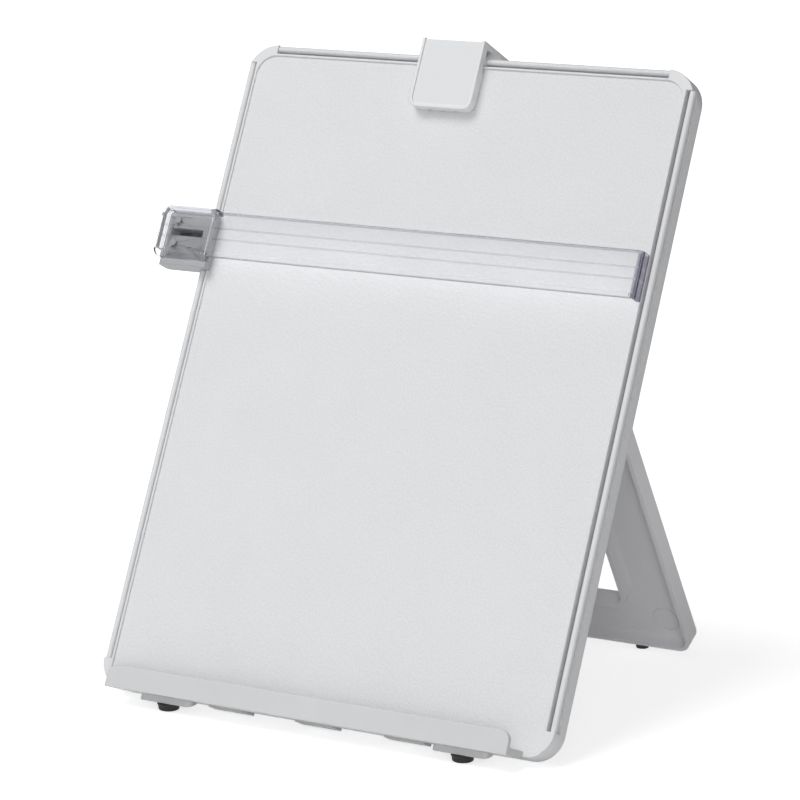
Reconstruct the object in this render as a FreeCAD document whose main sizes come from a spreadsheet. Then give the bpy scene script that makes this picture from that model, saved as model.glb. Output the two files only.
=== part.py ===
"""Copy holder with line guide, as a parametric document.

A moulded board leans back on an easel leg. A clip turns and slides on the round rail along the
board's top edge, and a clear line guide slides on the rail along its left edge.

Two frames are used. In the board's frame X runs across, Y runs back from the field that the paper
lies on, and Z runs up the board from its lower edge. In the leg's frame the hinge axis is the
origin, Y runs back through the leg and Z runs up it. Placements then lean both.
"""
import FreeCAD, Part
import math
import os
import Sketcher

doc = FreeCAD.newDocument("CopyHolder")
sheet = doc.addObject("Spreadsheet::Sheet", "Sizes")

# Driving sizes in millimetres, angles in degrees
DRIVING = [
    ("board_lean", 26),
    ("board_width", 230),
    ("board_height", 308),
    ("board_depth", 10),
    ("board_plate", 2.4),
    ("board_wall", 2.4),
    ("board_edge_block", 6.2),
    ("top_corner_radius", 14.5),
    ("low_corner_radius", 12.5),
    ("rim_width", 5.2),
    ("rim_height", 0.8),
    ("rim_softening", 0.35),
    ("desk_drop", 5.1),
    ("rail_radius", 1.4),
    ("rail_inset", 1.5),
    ("rail_back", 1.2),
    ("rail_web", 1.0),
    ("channel_width", 4.1),
    ("channel_depth", 4.1),
    ("side_rail_low_end", 12.5),
    ("side_rail_top_stop", 9),
    ("top_rail_side_stop", 14),
    ("rib_thickness", 1.6),
    ("rib_recess", 1.0),
    ("rib_side_place", 30),
    ("rib_low_place", 62),
    ("rib_middle_place", 128),
    ("rib_top_place", 262),
    ("lug_place", 69),
    ("lug_width", 5.4),
    ("lug_foot_reach", 15),
    ("hinge_height", 195.3),
    ("hinge_behind", 15),
    ("hinge_eye_radius", 4.5),
    ("hinge_pin_radius", 2),
    ("hinge_running_gap", 0.05),
    ("hinge_side_gap", 0.3),
    ("stop_gap", 0.1),
    ("ledge_half_width", 102),
    ("ledge_reach", 15),
    ("lip_thickness", 2),
    ("lip_height", 8.5),
    ("lip_corner_radius", 5),
    ("lip_edge_softening", 0.7),
    ("ledge_drop", 2),
    ("ledge_back_drop", 0.9),
    ("ledge_floor_back", 2.4),
    ("ledge_floor_front", 1.4),
    ("trough_radius", 1.2),
    ("tongue_half_width", 10),
    ("tongue_place", 45),
    ("tongue_thickness", 1.6),
    ("tongue_reach", 6.4),
    ("ledge_screw_back", 3.4),
    ("screw_radius", 1.1),
    ("screw_head_radius", 2.1),
    ("screw_head_height", 0.8),
    ("ledge_screw_length", 6),
    ("screw_slot_width", 0.6),
    ("screw_slot_depth", 0.4),
    ("screw_hole_gap", 0.1),
    ("foot_place", 75),
    ("foot_ahead", 2.6),
    ("foot_height", 3.7),
    ("foot_radius", 4.7),
    ("foot_flange_radius", 5.3),
    ("foot_flange_height", 1.1),
    ("foot_edge", 0.7),
    ("foot_block_half_width", 13.5),
    ("foot_block_reach", 5.5),
    ("foot_block_radius", 2.4),
    ("leg_length", 194.8),
    ("leg_half_width_low", 90),
    ("leg_half_width_hinge", 82.2),
    ("leg_depth", 9),
    ("leg_wall", 2),
    ("leg_plate", 2),
    ("leg_corner_radius", 7),
    ("leg_rim_clear", 2.1),
    ("window_low", 25),
    ("window_high", 148),
    ("window_half_width_low", 59.5),
    ("window_half_width_high", 55),
    ("window_wall", 2.3),
    ("window_radius", 5),
    ("mark_radius", 6.8),
    ("mark_line", 0.5),
    ("mark_depth", 0.3),
    ("mark_inset", 14),
    ("mark_height", 13),
    ("knuckle_length", 8.4),
    ("pin_overhang", 1),
    ("rear_foot_place", 62),
    ("rear_foot_set_back", 4.5),
    ("rear_foot_radius", 3.4),
    ("rear_foot_taper", 0.5),
    ("clip_centre", -6.7),
    ("clip_width", 32),
    ("clip_drop", 25),
    ("clip_front", 5.4),
    ("clip_paper_gap", 0.3),
    ("clip_skin", 2.2),
    ("clip_flange", 1.8),
    ("clip_corner_radius", 4.5),
    ("clip_border", 1.3),
    ("clip_border_height", 0.5),
    ("clip_arm_rise", 4.9),
    ("clip_arm_lift", 1.2),
    ("clip_arm_top", 7.9),
    ("clip_arm_reach", 22.5),
    ("clip_knuckle_radius", 2.4),
    ("clip_knuckle_length", 3.2),
    ("clip_bridge", 1.2),
    ("clip_relief_drop", 5.6),
    ("clip_relief_depth", 1.4),
    ("clip_tooth_width", 2.4),
    ("clip_tooth_depth", 1.1),
    ("clip_tooth_height", 2.0),
    ("mouth_low", 1.7),
    ("mouth_high", 3.1),
    ("mouth_reach", 3),
    ("rail_running_gap", 0.1),
    ("part_gap", 0.3),
    ("carriage_strap", 1.2),
    ("carriage_tongue", 1.6),
    ("carriage_tongue_drop", 16),
    ("clip_spring_width", 12),
    ("clip_spring_leaf", 0.5),
    ("clip_spring_foot", 6),
    ("clip_spring_reach", 8),
    ("guide_height", 212.2),
    ("guide_front", 8),
    ("guide_plate", 2),
    ("guide_bar_height", 21.2),
    ("guide_end_inset", 4),
    ("guide_end_wall", 1.8),
    ("guide_end_radius", 2.5),
    ("guide_bead_height", 2.2),
    ("guide_bead_proud", 0.5),
    ("guide_bead_back", 0.3),
    ("guide_top_bead", 1.1),
    ("guide_line_high", 3.0),
    ("guide_line_low", -2.2),
    ("guide_line_width", 0.6),
    ("guide_line_height", 0.4),
    ("head_overhang", 22),
    ("head_overlap", 7.4),
    ("head_height", 25),
    ("head_front_extra", 0.6),
    ("head_corner_radius", 4.6),
    ("head_border_side", 4.6),
    ("head_border_end", 1.4),
    ("head_border_height", 2.4),
    ("head_skirt", 1.8),
    ("head_skirt_back", 1.6),
    ("slider_drop", 2.7),
    ("slider_end_inset", 1.2),
    ("slider_back", 3.6),
    ("slider_split", 0.4),
    ("slider_corner_radius", 2.6),
    ("slot_width", 3.4),
    ("slot_wall", 4.1),
    ("slot_back", 2.0),
    ("slider_spring_leaf", 0.4),
    ("slider_spring_width", 2.8),
    ("slider_spring_bow", 2.6),
    ("guide_pin_inset", 6.9),
    ("guide_pin_rise", 5.5),
    ("guide_pin_radius", 1.1),
    ("guide_pin_depth", 2.6),
    ("guide_pin_head_radius", 1.7),
    ("guide_pin_head", 0.4),
    ("slider_screw_inset", 12.9),
    ("slider_screw_length", 5.6),
    ("overrun", 2),
    ("joint_overlap", 0.4),
]

for row, (alias, value) in enumerate(DRIVING, start=1):
    sheet.set("A%d" % row, alias)
    sheet.set("B%d" % row, str(value))
    sheet.setAlias("B%d" % row, alias)
doc.recompute()


class Size:
    """A size with the sheet expression that gives it, so that sums of sizes stay bound."""

    def __init__(self, value, text):
        self.value = value
        self.text = text

    def __add__(self, other):
        other = as_size(other)
        return Size(self.value + other.value, "(%s + %s)" % (self.text, other.text))

    def __radd__(self, other):
        return as_size(other) + self

    def __sub__(self, other):
        other = as_size(other)
        return Size(self.value - other.value, "(%s - %s)" % (self.text, other.text))

    def __rsub__(self, other):
        return as_size(other) - self

    def __mul__(self, other):
        other = as_size(other)
        return Size(self.value * other.value, "(%s * %s)" % (self.text, other.text))

    def __rmul__(self, other):
        return as_size(other) * self

    def __truediv__(self, other):
        other = as_size(other)
        return Size(self.value / other.value, "(%s / %s)" % (self.text, other.text))

    def __neg__(self):
        return Size(-self.value, "(-1 * %s)" % self.text)


def as_size(thing):
    return thing if isinstance(thing, Size) else Size(float(thing), repr(float(thing)))


def size(alias):
    """One driving size of the sheet."""
    return Size(float(getattr(sheet, alias)), "Sizes.%s" % alias)


def angle(alias):
    """One driving angle of the sheet, in degrees."""
    return Size(float(getattr(sheet, alias)), "(Sizes.%s * 1 deg)" % alias)


def sine(turn):
    return Size(math.sin(math.radians(turn.value)), "sin(%s)" % turn.text)


def cosine(turn):
    return Size(math.cos(math.radians(turn.value)), "cos(%s)" % turn.text)


def tangent(turn):
    return Size(math.tan(math.radians(turn.value)), "tan(%s)" % turn.text)


def arc_cosine(share):
    return Size(math.degrees(math.acos(share.value)), "acos(%s)" % share.text)


def arc_tangent(share):
    return Size(math.degrees(math.atan(share.value)), "atan(%s)" % share.text)


def root(number):
    return Size(math.sqrt(number.value), "sqrt(%s)" % number.text)


NOTHING = as_size(0)


# Sketches and features, each bound to the sheet

def origin_plane(body, role):
    return [item for item in body.Origin.OriginFeatures if item.Role == role][0]


def new_body(label):
    body = doc.addObject("PartDesign::Body", label)
    body.Label = label
    return body


def new_sketch(body, role, offset=NOTHING):
    """A sketch on one of the body's own planes, moved along that plane's normal."""
    sketch = body.newObject("Sketcher::SketchObject", body.Label + "_sketch")
    sketch.AttachmentSupport = [(origin_plane(body, role), "")]
    sketch.MapMode = "FlatFace"
    if offset is not NOTHING:
        sketch.AttachmentOffset = FreeCAD.Placement(FreeCAD.Vector(0, 0, offset.value),
                                                    FreeCAD.Rotation())
        sketch.setExpression("AttachmentOffset.Base.z", offset.text)
    return sketch


def pin_point(sketch, geometry, point, across, up):
    """Hold one point of the sketch at a bound place."""
    for kind, place, axis in (("DistanceX", across, -2), ("DistanceY", up, -1)):
        if place is NOTHING:
            sketch.addConstraint(Sketcher.Constraint("PointOnObject", geometry, point, axis))
            continue
        number = sketch.addConstraint(
            Sketcher.Constraint(kind, -1, 1, geometry, point, place.value))
        sketch.setExpression("Constraints[%d]" % number, place.text)


def radius_of(sketch, geometry, radius):
    number = sketch.addConstraint(Sketcher.Constraint("Radius", geometry, radius.value))
    sketch.setExpression("Constraints[%d]" % number, radius.text)


def circle(sketch, across, up, radius):
    number = sketch.addGeometry(
        Part.Circle(FreeCAD.Vector(across.value, up.value, 0), FreeCAD.Vector(0, 0, 1), radius.value),
        False)
    pin_point(sketch, number, 3, across, up)
    radius_of(sketch, number, radius)


def towards(start, end):
    """Unit direction from one corner to another."""
    across, up = end[0] - start[0], end[1] - start[1]
    length = root(across * across + up * up)
    return across / length, up / length


def outline(sketch, corners):
    """A closed outline. A corner is (across, up), or (across, up, radius) where it is rounded."""
    count = len(corners)
    ends = []
    for index, corner in enumerate(corners):
        if len(corner) < 3:
            ends.append(((corner[0], corner[1]),) * 2)
            continue
        back = towards(corner, corners[index - 1])
        ahead = towards(corner, corners[(index + 1) % count])
        opening = back[0] * ahead[0] + back[1] * ahead[1]
        reach = corner[2] * root((1 + opening) / (1 - opening))
        ends.append(((corner[0] + back[0] * reach, corner[1] + back[1] * reach),
                     (corner[0] + ahead[0] * reach, corner[1] + ahead[1] * reach)))
    lines = []
    for index in range(count):
        start, end = ends[index][1], ends[(index + 1) % count][0]
        lines.append(sketch.addGeometry(Part.LineSegment(
            FreeCAD.Vector(start[0].value, start[1].value, 0),
            FreeCAD.Vector(end[0].value, end[1].value, 0)), False))
        pin_point(sketch, lines[-1], 1, *start)
        if len(corners[(index + 1) % count]) == 3:
            pin_point(sketch, lines[-1], 2, *end)
    for index, corner in enumerate(corners):
        before, after = lines[index - 1], lines[index]
        if len(corner) < 3:
            sketch.addConstraint(Sketcher.Constraint("Coincident", before, 2, after, 1))
            continue
        (start, end), (across, up, radius) = ends[index], corner
        first = FreeCAD.Vector(start[0].value, start[1].value, 0)
        last = FreeCAD.Vector(end[0].value, end[1].value, 0)
        tip = FreeCAD.Vector(across.value, up.value, 0)
        inward = (first - tip).normalize() + (last - tip).normalize()
        to_centre = math.hypot((first - tip).Length, radius.value)
        centre = tip + inward.normalize() * to_centre
        middle = centre + (tip - centre).normalize() * radius.value
        bend = sketch.addGeometry(Part.Arc(first, middle, last), False)
        starts_first = sketch.getPoint(bend, 1).distanceToPoint(first) < radius.value / 100
        near, far = (1, 2) if starts_first else (2, 1)
        sketch.addConstraint(Sketcher.Constraint("Coincident", before, 2, bend, near))
        sketch.addConstraint(Sketcher.Constraint("Coincident", after, 1, bend, far))
        radius_of(sketch, bend, radius)


def box_outline(sketch, left, low, right, high, *radius):
    """A rectangle, with all corners rounded where a radius is given."""
    outline(sketch, [(left, low) + radius, (right, low) + radius,
                     (right, high) + radius, (left, high) + radius])


def feature(body, kind, sketch, length, reverse=False, both_ways=False):
    """A Pad or Pocket of a sketch. It stops the script if it changes nothing."""
    doc.recompute()
    before = body.Shape.Volume if body.Tip else 0
    item = body.newObject("PartDesign::" + kind, body.Label + "_" + kind.lower())
    item.Profile = sketch
    item.Length = length.value
    item.setExpression("Length", length.text)
    item.Reversed = reverse
    if both_ways:
        item.SideType = "Symmetric"
    doc.recompute()
    change = body.Shape.Volume - before
    if (change <= 0) if kind == "Pad" else (change >= 0):
        raise ValueError("%s has no effect on %s" % (item.Name, body.Label))
    return item


def mirrored(body, originals):
    """The same features on the other side of the middle plane."""
    item = body.newObject("PartDesign::Mirrored", body.Label + "_mirrored")
    item.Originals = originals
    item.MirrorPlane = (origin_plane(body, "YZ_Plane"), [""])
    body.Tip = item
    doc.recompute()
    return item


def edges_where(shape, test):
    return ["Edge%d" % (index + 1) for index, edge in enumerate(shape.Edges) if test(edge)]


def blend(body, kind, amount, test):
    """A Fillet or Chamfer on every edge of the body that passes the test."""
    doc.recompute()
    base = body.Tip
    names = edges_where(base.Shape, test)
    if not names:
        raise ValueError("no edge found for a %s on %s" % (kind, body.Label))
    item = body.newObject("PartDesign::" + kind, body.Label + "_" + kind.lower())
    item.Base = (base, names)
    amount_name = "Radius" if kind == "Fillet" else "Size"
    setattr(item, amount_name, amount.value)
    item.setExpression(amount_name, amount.text)
    doc.recompute()
    return item


def near(value, place):
    """True where a coordinate lies on a named place, to a small share of the rail's radius."""
    return abs(value - place.value) < size("rail_radius").value / 100


def straight(edge, axis):
    """True for a straight edge that runs along axis 0, 1 or 2."""
    if edge.Curve.TypeId != "Part::GeomLine":
        return False
    ends = [vertex.Point for vertex in edge.Vertexes]
    run = ends[-1] - ends[0]
    return all(abs(run[other]) < run.Length / 1000 for other in range(3) if other != axis)


# Places that several pieces share

LEAN = angle("board_lean")
HALF_WIDTH = size("board_width") / 2
HEIGHT = size("board_height")
OVERRUN = size("overrun")
RAIL_X = HALF_WIDTH - size("rail_inset")
RAIL_TOP = HEIGHT - size("rail_inset")
RAIL_Y = size("rail_back")
HALF_LEG = size("leg_depth") / 2

# Height of the hinge axis over the desk, and the leg's lean that puts its rim just over the desk
HINGE_DESK = (size("hinge_height") * cosine(LEAN) - size("hinge_behind") * sine(LEAN)
              + size("desk_drop"))
LEG_SPAN = root(size("leg_length") * size("leg_length") + HALF_LEG * HALF_LEG)
LEG_LEAN = (arc_tangent(HALF_LEG / size("leg_length"))
            + arc_cosine((HINGE_DESK - size("leg_rim_clear")) / LEG_SPAN))
OPENING = LEAN + LEG_LEAN

# The origin is on the desk, under the middle of the standing holder's outer box
HINGE_AHEAD = size("hinge_height") * sine(LEAN) + size("hinge_behind") * cosine(LEAN)
FRONT_REACH = size("ledge_reach") * cosine(LEAN) + size("ledge_drop") * sine(LEAN)
BACK_REACH = HINGE_AHEAD + size("leg_length") * sine(LEG_LEAN) + HALF_LEG * cosine(LEG_LEAN)
MIDDLE_X = size("head_overhang") / 2
MIDDLE_Y = (FRONT_REACH - BACK_REACH) / 2


def place(body, axis_x, turn, across, back, up):
    """Lean a piece about the X axis and move it; axis_x is 1 or -1."""
    body.Placement = FreeCAD.Placement(
        FreeCAD.Vector(across.value, back.value, up.value),
        FreeCAD.Rotation(FreeCAD.Vector(axis_x, 0, 0), turn.value))
    for name, amount in (("Base.x", across), ("Base.y", back), ("Base.z", up)):
        body.setExpression("Placement." + name, amount.text)
    body.setExpression("Placement.Rotation.Angle", turn.text)


def place_on_board(body):
    place(body, -1, LEAN, MIDDLE_X, MIDDLE_Y, size("desk_drop"))


def place_on_leg(body):
    place(body, 1, LEG_LEAN, MIDDLE_X, MIDDLE_Y + HINGE_AHEAD, HINGE_DESK)


def place_on_desk(body, across, back):
    body.Placement = FreeCAD.Placement(
        FreeCAD.Vector(across.value, back.value, 0), FreeCAD.Rotation())
    body.setExpression("Placement.Base.x", across.text)
    body.setExpression("Placement.Base.y", back.text)


# Back board

def board_shell(body):
    """Outer block with its field sunk inside a raised rim, hollow from behind."""
    front = new_sketch(body, "XZ_Plane", size("rim_height"))
    outline(front, [(-HALF_WIDTH, NOTHING, size("low_corner_radius")),
                    (HALF_WIDTH, NOTHING, size("low_corner_radius")),
                    (HALF_WIDTH, HEIGHT, size("top_corner_radius")),
                    (-HALF_WIDTH, HEIGHT, size("top_corner_radius"))])
    feature(body, "Pad", front, size("rim_height") + size("board_depth"), reverse=True)
    field = new_sketch(body, "XZ_Plane", size("rim_height"))
    inner = HALF_WIDTH - size("rim_width")
    corner = size("top_corner_radius") - size("rim_width")
    outline(field, [(-inner, -OVERRUN), (inner, -OVERRUN),
                    (inner, HEIGHT - size("rim_width"), corner),
                    (-inner, HEIGHT - size("rim_width"), corner)])
    feature(body, "Pocket", field, size("rim_height"))
    for inset, floor in ((size("board_edge_block"), size("board_plate")),
                         (size("board_wall"), size("channel_depth") + size("board_plate"))):
        back = new_sketch(body, "XZ_Plane", -size("board_depth"))
        low_radius = size("low_corner_radius") - inset
        top_radius = size("top_corner_radius") - inset
        side = HALF_WIDTH - inset
        outline(back, [(-side, inset, low_radius), (side, inset, low_radius),
                       (side, HEIGHT - inset, top_radius), (-side, HEIGHT - inset, top_radius)])
        feature(body, "Pocket", back, size("board_depth") - floor, reverse=True)


def board_rails(body):
    """Open channels along three edges, each with a round rail on a thin web."""
    deep = size("rim_height") + size("channel_depth")
    channels = new_sketch(body, "XZ_Plane", size("rim_height"))
    side_low = size("side_rail_low_end")
    side_high = HEIGHT - size("side_rail_top_stop")
    inner = HALF_WIDTH - size("channel_width")
    outer = HALF_WIDTH + OVERRUN
    box_outline(channels, inner, side_low, outer, side_high)
    box_outline(channels, -outer, side_low, -inner, side_high)
    top_end = HALF_WIDTH - size("top_rail_side_stop")
    box_outline(channels, -top_end, HEIGHT - size("channel_width"), top_end, HEIGHT + OVERRUN)
    feature(body, "Pocket", channels, deep)
    half_web = size("rail_web") / 2
    root_y = size("channel_depth") + size("joint_overlap")
    side_webs = new_sketch(body, "XY_Plane", side_low)
    side_rails = new_sketch(body, "XY_Plane", side_low)
    for way in (-1, 1):
        box_outline(side_webs, way * RAIL_X - half_web, RAIL_Y, way * RAIL_X + half_web, root_y)
        circle(side_rails, way * RAIL_X, RAIL_Y, size("rail_radius"))
    feature(body, "Pad", side_webs, side_high - side_low)
    feature(body, "Pad", side_rails, side_high - side_low)
    top_web = new_sketch(body, "YZ_Plane")
    box_outline(top_web, RAIL_Y, RAIL_TOP - half_web, root_y, RAIL_TOP + half_web)
    feature(body, "Pad", top_web, 2 * top_end, both_ways=True)
    top_rail = new_sketch(body, "YZ_Plane")
    circle(top_rail, RAIL_Y, RAIL_TOP, size("rail_radius"))
    feature(body, "Pad", top_rail, 2 * top_end, both_ways=True)


def board_ribs(body):
    """Stiffening ribs on the back, and the deeper rib that the open leg leans on."""
    start = size("joint_overlap") - size("board_plate")
    edge = size("board_edge_block") - size("joint_overlap")
    half_rib = size("rib_thickness") / 2
    depth = size("board_depth") - size("rib_recess") + start
    uprights = new_sketch(body, "XZ_Plane", start)
    for across in (-size("lug_place"), -size("rib_side_place"), size("rib_side_place"),
                   size("lug_place")):
        box_outline(uprights, across - half_rib, edge, across + half_rib, HEIGHT - edge)
    feature(body, "Pad", uprights, depth, reverse=True)
    levels = new_sketch(body, "XZ_Plane", start)
    side = HALF_WIDTH - edge
    for height in (size("rib_low_place"), size("rib_middle_place"), size("rib_top_place")):
        box_outline(levels, -side, height - half_rib, side, height + half_rib)
    feature(body, "Pad", levels, depth, reverse=True)
    stop = new_sketch(body, "XZ_Plane", start)
    low = size("hinge_height") + STOP_RISE - size("rib_thickness")
    box_outline(stop, -side, low, side, low + 4 * size("rib_thickness"))
    feature(body, "Pad", stop, size("board_depth") + start, reverse=True)


def board_lugs(body):
    """Two hinge lugs on the back, each a gusset with an eye for the pin."""
    half_lug = size("lug_width") / 2
    start_y = size("board_plate") - size("joint_overlap")
    made = []
    gusset = new_sketch(body, "YZ_Plane", size("lug_place") - half_lug)
    high = size("hinge_height") + size("lug_foot_reach")
    low = size("hinge_height") - size("lug_foot_reach")
    outline(gusset, [(start_y, low),
                     (size("hinge_behind"), size("hinge_height") - size("hinge_eye_radius")),
                     (size("hinge_behind"), size("hinge_height") + size("hinge_eye_radius")),
                     (start_y, high)])
    made.append(feature(body, "Pad", gusset, size("lug_width")))
    eye = new_sketch(body, "YZ_Plane", size("lug_place") - half_lug)
    circle(eye, size("hinge_behind"), size("hinge_height"), size("hinge_eye_radius"))
    made.append(feature(body, "Pad", eye, size("lug_width")))
    hole = new_sketch(body, "YZ_Plane", size("lug_place") + half_lug + OVERRUN)
    circle(hole, size("hinge_behind"), size("hinge_height"),
           size("hinge_pin_radius") + size("hinge_running_gap"))
    made.append(feature(body, "Pocket", hole, size("lug_width") + 2 * OVERRUN))
    mirrored(body, made)


def ledge_screw_places():
    return (-size("tongue_place"), NOTHING, size("tongue_place"))


def back_board():
    body = new_body("back_board")
    board_shell(body)
    board_rails(body)
    board_ribs(body)
    board_lugs(body)
    holes = new_sketch(body, "XY_Plane")
    for across in ledge_screw_places():
        circle(holes, across, size("ledge_screw_back"), size("screw_radius"))
    feature(body, "Pocket", holes, size("ledge_screw_length") - size("tongue_thickness"), reverse=True)
    rim_front = -size("rim_height")
    blend(body, "Fillet", size("rim_softening"),
          lambda edge: near(edge.BoundBox.YMin, rim_front) and near(edge.BoundBox.YMax, rim_front))
    place_on_board(body)
    return body


# Rise, over the hinge axis, of the line where the open leg's plate meets the board's back
STOP_PLANE = size("hinge_behind") - size("board_depth") - size("stop_gap")
PLATE_FRONT = HALF_LEG - size("leg_plate")


def stop_line(depth):
    """Height in the leg's frame where a plane parallel to the board's back cuts it."""
    return (STOP_PLANE + depth * cosine(OPENING)) / sine(OPENING)


STOP_RISE = PLATE_FRONT * sine(OPENING) + stop_line(PLATE_FRONT) * cosine(OPENING)


# Paper ledge

def under_block(depth):
    """Height in the board's frame of the level plane on which the front feet sit."""
    return (size("foot_height") - size("desk_drop") + depth * sine(LEAN)) / cosine(LEAN)


def paper_ledge():
    """Sloping floor with an upright lip, foot blocks below it and tongues under the board."""
    body = new_body("paper_ledge")
    reach, lip_back = size("ledge_reach"), size("ledge_reach") - size("lip_thickness")
    section = new_sketch(body, "YZ_Plane")
    outline(section, [(NOTHING, -size("ledge_back_drop")),
                      (NOTHING, size("ledge_floor_back")),
                      (-lip_back, size("ledge_floor_front"), size("trough_radius")),
                      (-lip_back, size("lip_height")),
                      (-reach, size("lip_height")),
                      (-reach, -size("ledge_drop"))])
    feature(body, "Pad", section, 2 * size("ledge_half_width"), both_ways=True)
    side = size("ledge_half_width").value
    blend(body, "Fillet", size("lip_corner_radius"),
          lambda edge: straight(edge, 1) and near(edge.BoundBox.ZMax, size("lip_height"))
          and edge.BoundBox.YMax < -lip_back.value / 2 and abs(edge.BoundBox.XMax) > side / 2)
    blend(body, "Fillet", size("lip_edge_softening"),
          lambda edge: near(edge.BoundBox.YMin, -reach) and near(edge.BoundBox.YMax, -reach)
          and edge.BoundBox.ZMax > size("ledge_floor_back").value)
    tongues = new_sketch(body, "XZ_Plane", size("joint_overlap"))
    for across in ledge_screw_places():
        box_outline(tongues, across - size("tongue_half_width"), -size("tongue_thickness"),
                    across + size("tongue_half_width"), NOTHING)
    feature(body, "Pad", tongues, size("joint_overlap") + size("tongue_reach"), reverse=True)
    screw_holes = new_sketch(body, "XY_Plane", -size("tongue_thickness") - OVERRUN)
    heads = new_sketch(body, "XY_Plane", -size("tongue_thickness"))
    for across in ledge_screw_places():
        circle(screw_holes, across, size("ledge_screw_back"), size("screw_radius"))
        circle(heads, across, size("ledge_screw_back"),
               size("screw_head_radius") + size("screw_hole_gap"))
    feature(body, "Pocket", screw_holes, size("tongue_thickness") + 2 * OVERRUN, reverse=True)
    feature(body, "Pocket", heads, size("screw_head_height"), reverse=True)
    block = new_sketch(body, "YZ_Plane", size("foot_place") - size("foot_block_half_width"))
    ahead = -size("foot_block_reach")
    inside = -size("ledge_back_drop") + size("joint_overlap")
    outline(block, [(NOTHING, under_block(NOTHING)), (NOTHING, inside),
                    (ahead, inside), (ahead, under_block(ahead))])
    blocks = [feature(body, "Pad", block, 2 * size("foot_block_half_width"))]
    mirrored(body, blocks)
    blend(body, "Fillet", size("foot_block_radius"),
          lambda edge: straight(edge, 2) and near(edge.BoundBox.YMin, ahead)
          and near(edge.BoundBox.YMax, ahead))
    place_on_board(body)
    return body


# Screws, feet and pins

def turned(label, corners):
    """A piece turned about the Z axis, from (radius, height) corners."""
    body = new_body(label)
    section = new_sketch(body, "XZ_Plane")
    outline(section, corners)
    item = body.newObject("PartDesign::Revolution", label + "_turned")
    item.Profile = section
    item.ReferenceAxis = (section, ["V_Axis"])
    item.Angle = 360
    doc.recompute()
    return body


def front_foot(label, way):
    """Tapered rubber foot with a flange at its top."""
    flange_low = size("foot_height") - size("foot_flange_height")
    body = turned(label, [
        (NOTHING, NOTHING),
        (size("foot_radius") - size("foot_edge"), NOTHING),
        (size("foot_radius"), size("foot_edge")),
        ((size("foot_radius") + size("foot_flange_radius")) / 2, flange_low),
        (size("foot_flange_radius"), flange_low),
        (size("foot_flange_radius"), size("foot_height")),
        (NOTHING, size("foot_height"))])
    place_on_desk(body, MIDDLE_X + way * size("foot_place"), MIDDLE_Y - size("foot_ahead"))
    return body


def rear_foot(label, way):
    """Rubber foot cut at its top to sit on the slanting end wall of the leg."""
    rise = size("rear_foot_set_back") * sine(LEG_LEAN) + size("leg_rim_clear")
    radius = size("rear_foot_radius")
    high = rise + (radius + OVERRUN) * tangent(LEG_LEAN)
    low = rise - (radius + OVERRUN) * tangent(LEG_LEAN)
    body = turned(label, [(NOTHING, NOTHING), (radius - size("rear_foot_taper"), NOTHING),
                          (radius, rise / 2), (radius, high), (NOTHING, high)])
    slant = new_sketch(body, "YZ_Plane")
    outline(slant, [(-radius - OVERRUN, low), (radius + OVERRUN, high),
                    (radius + OVERRUN, high + OVERRUN), (-radius - OVERRUN, high + OVERRUN)])
    feature(body, "Pocket", slant, 2 * radius + 2 * OVERRUN, both_ways=True)
    rim_ahead = BACK_REACH - size("leg_depth") * cosine(LEG_LEAN)
    place_on_desk(body, MIDDLE_X + way * size("rear_foot_place"),
                  MIDDLE_Y + rim_ahead + size("rear_foot_set_back") * cosine(LEG_LEAN))
    return body


def screw_shape(length):
    """A slotted screw along Z, head down, its head's face at the origin."""
    head = Part.makeCylinder(size("screw_head_radius").value, size("screw_head_height").value)
    shank = Part.makeCylinder(size("screw_radius").value, length)
    slot = Part.makeBox(2 * size("screw_head_radius").value, size("screw_slot_width").value,
                        size("screw_slot_depth").value,
                        FreeCAD.Vector(-size("screw_head_radius").value,
                                       -size("screw_slot_width").value / 2, 0))
    return head.fuse(shank).cut(slot).removeSplitter()


def screw_group(label, length, frames):
    """Identical screws as one group of separate solids."""
    group = doc.addObject("Part::Feature", label)
    group.Label = label
    screws = []
    for frame in frames:
        screw = screw_shape(length.value)
        screw.Placement = frame
        screws.append(screw)
    group.Shape = Part.makeCompound(screws)
    place_on_board(group)
    return group


def ledge_screws():
    frames = [FreeCAD.Placement(
        FreeCAD.Vector(across.value, size("ledge_screw_back").value,
                       -size("tongue_thickness").value), FreeCAD.Rotation())
        for across in ledge_screw_places()]
    return screw_group("ledge_screws", size("ledge_screw_length"), frames)


# Easel leg

def leg_half_width(height, inset=NOTHING):
    """Half the leg's width at a height in the leg's frame; it narrows towards the hinge."""
    slope = (size("leg_half_width_hinge") - size("leg_half_width_low")) / size("leg_length")
    return size("leg_half_width_hinge") + height * slope - inset


def window_outline(sketch, grow):
    low = size("window_low") - size("leg_length") - grow
    high = size("window_high") - size("leg_length") + grow
    half_low = size("window_half_width_low") + grow
    half_high = size("window_half_width_high") + grow
    radius = size("window_radius") + grow
    outline(sketch, [(-half_low, low, radius), (half_low, low, radius),
                     (half_high, high, radius), (-half_high, high, radius)])


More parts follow.
